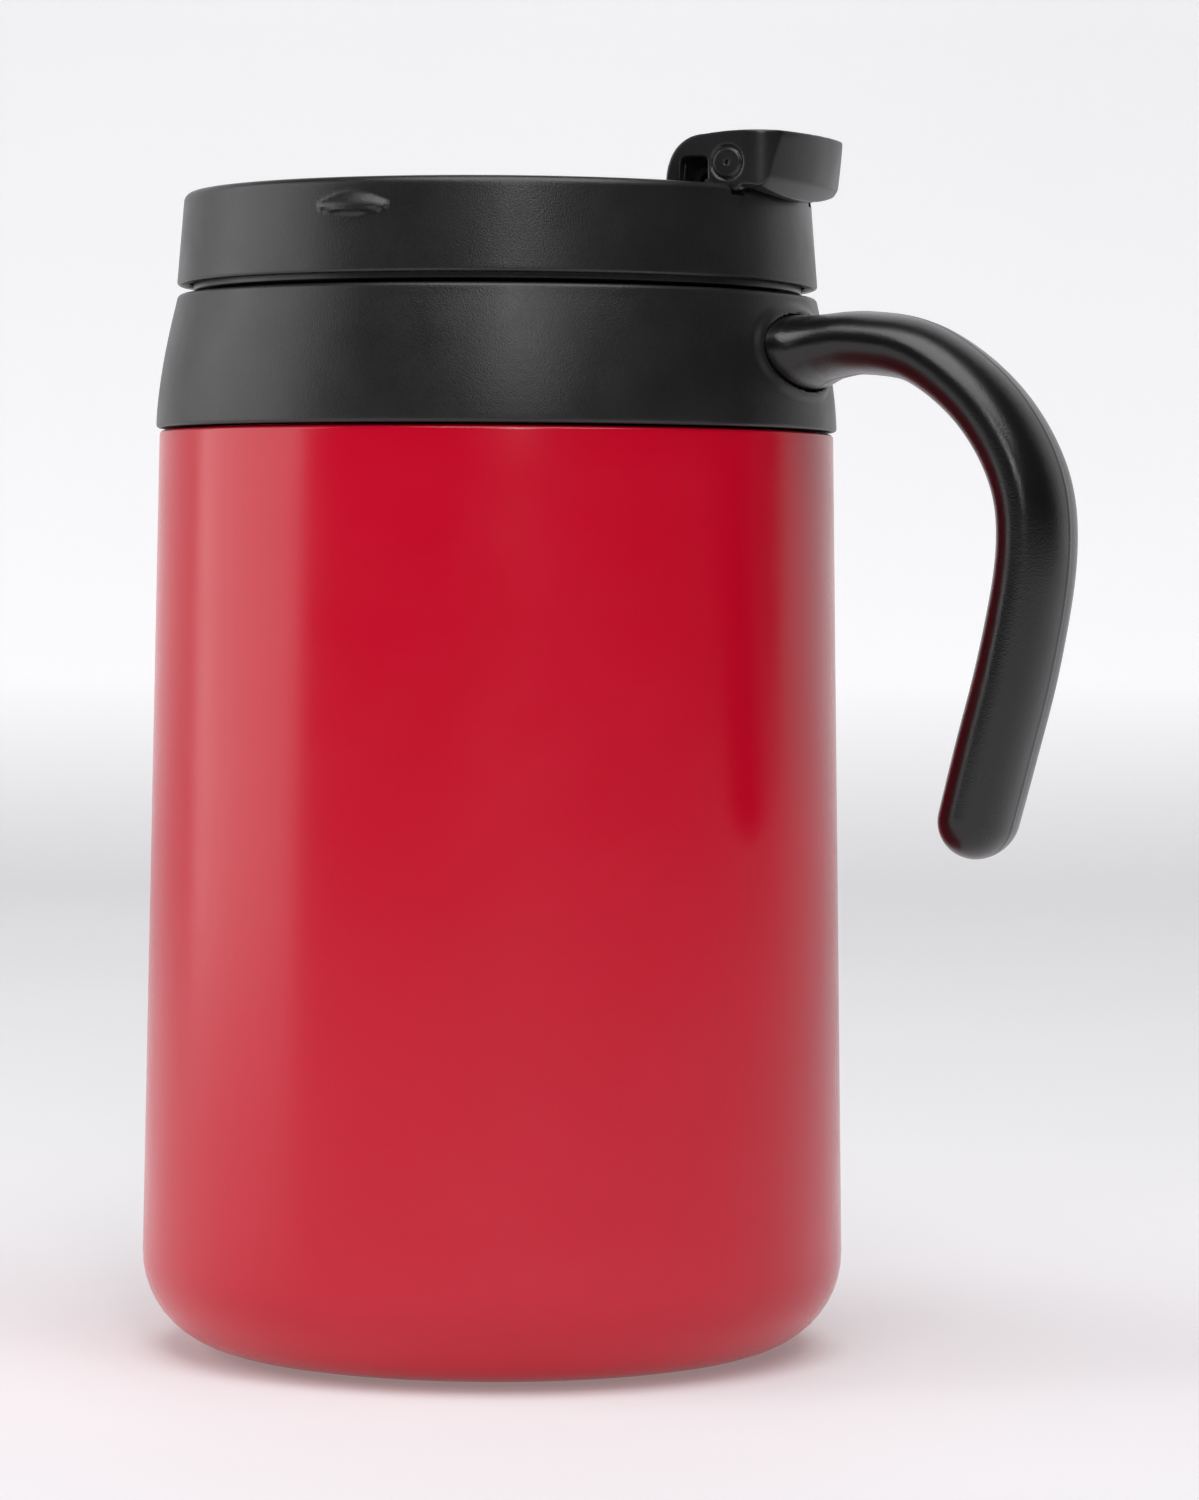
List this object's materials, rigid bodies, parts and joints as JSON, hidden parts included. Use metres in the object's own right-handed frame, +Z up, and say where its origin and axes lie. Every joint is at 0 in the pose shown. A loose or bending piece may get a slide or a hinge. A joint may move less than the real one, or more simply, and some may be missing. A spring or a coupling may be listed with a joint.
{
  "type": "insulated travel mug",
  "caption": "Double-walled steel travel mug: tapered painted body, moulded collar, open J-shaped handle, and a screw lid with a hinged flip cap over its sip hole.",
  "frame": {"origin": "on the cup's axis, on the underside of the base pad, where it meets the table", "axes": "+Z up along the cup's axis, +X toward the handle and the flip cap, +Y across"},
  "size_m": [0.123, 0.09, 0.1551],
  "materials": {
    "body_paint": "satin red powder paint, very fine orange peel",
    "liner_steel": "brushed stainless steel, brushed round the cup",
    "base_steel": "plain stainless sheet",
    "solder": "dull solder bead",
    "getter": "sintered grey pellet",
    "copper_foil": "thin bright copper foil",
    "base_rubber": "soft matt non-slip pad",
    "collar_plastic": "black moulded plastic with a fine spark texture",
    "handle_plastic": "black moulded plastic, slightly smoother than the collar",
    "lid_plastic": "black moulded plastic with a fine spark texture",
    "cap_plastic": "black moulded plastic with a fine texture",
    "plug_plastic": "black moulded plastic, smooth",
    "screw_steel": "zinc-plated steel screw",
    "pin_steel": "drawn steel pin",
    "silicone": "translucent grey food-grade silicone"
  },
  "bodies": {
    "vessel": {"outer_shell": "body_paint", "inner_liner": "liner_steel", "base_disc": "base_steel", "vacuum_seal_bead": "solder", "getter_pellet": "getter", "radiation_shield": "copper_foil", "base_pad": "base_rubber", "collar": "collar_plastic", "collar_gasket": "silicone", "handle": "handle_plastic", "handle_screw_left": "screw_steel", "handle_screw_right": "screw_steel"},
    "seal_ring": {"lid_seal": "silicone"},
    "lid": {"lid_shell": "lid_plastic", "lid_plug": "plug_plastic", "plug_gasket": "silicone", "hinge_pin": "pin_steel", "vent_plug": "silicone"},
    "cap": {"flip_cap": "cap_plastic", "sip_stopper": "silicone"}
  },
  "joints": [
    {"name": "lid_lift", "type": "slide", "parent": "vessel", "child": "seal_ring", "axis": [0, 0, 1], "range_m": [0, 0.01801]},
    {"name": "lid_turn", "type": "hinge", "parent": "seal_ring", "child": "lid", "pos_m": [0, 0, 0.13], "axis": [0, 0, 1], "range_deg": [0, 1620]},
    {"name": "cap_hinge", "type": "hinge", "parent": "lid", "child": "cap", "pos_m": [0.0335, 0, 0.1482], "axis": [0, -1, 0], "range_deg": [0, 110]}
  ],
  "couplings": [
    {"joint": "lid_lift", "follows": "lid_turn", "m_per_rad": 0.00063662}
  ]
}
